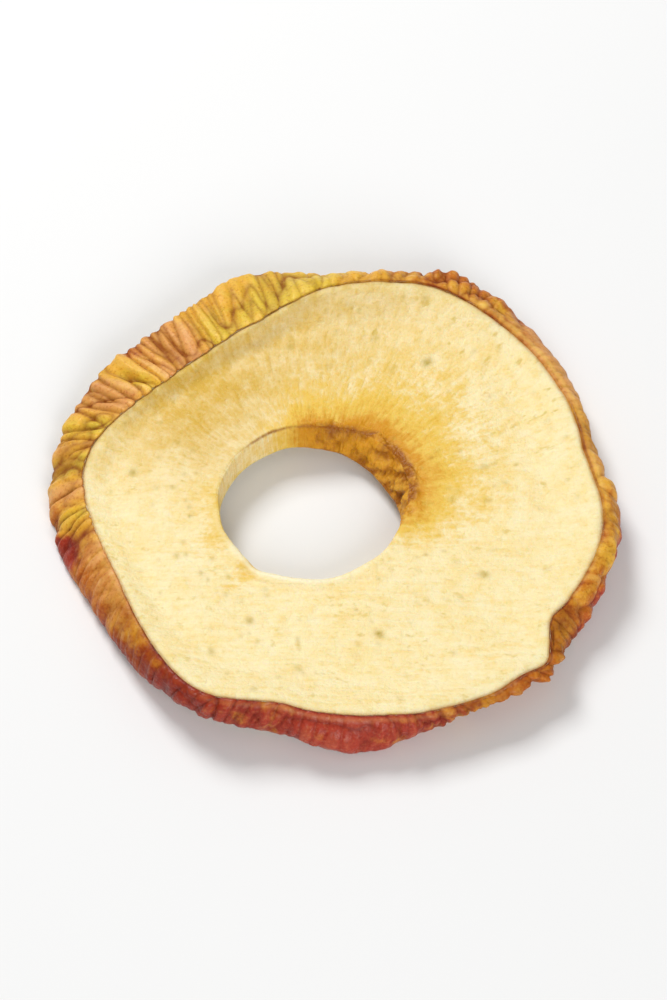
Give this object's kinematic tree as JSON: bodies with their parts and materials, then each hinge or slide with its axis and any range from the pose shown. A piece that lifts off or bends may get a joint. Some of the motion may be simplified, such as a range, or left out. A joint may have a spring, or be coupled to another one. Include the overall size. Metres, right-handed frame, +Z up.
{
  "type": "dried apple ring",
  "caption": "Flat ring of dried apple with a bored core hole, sunk flesh and a puckered peel round its curled rim.",
  "frame": {"origin": "middle of the ring's bounding box, at the floor it lies on", "axes": "+Z up, through the thickness; +Y away from the viewer of the picture, towards the rim that stands highest; +X to the viewer's right"},
  "size_m": [0.0678, 0.068, 0.0085],
  "materials": {
    "apple_flesh": "matt, pale cream-yellow dried fruit flesh, golden brown round the core",
    "apple_peel": "satin, wrinkled peel that runs from golden green through orange brown to dark red"
  },
  "bodies": {
    "root": {"apple_ring": "apple_flesh"}
  },
  "joints": []
}
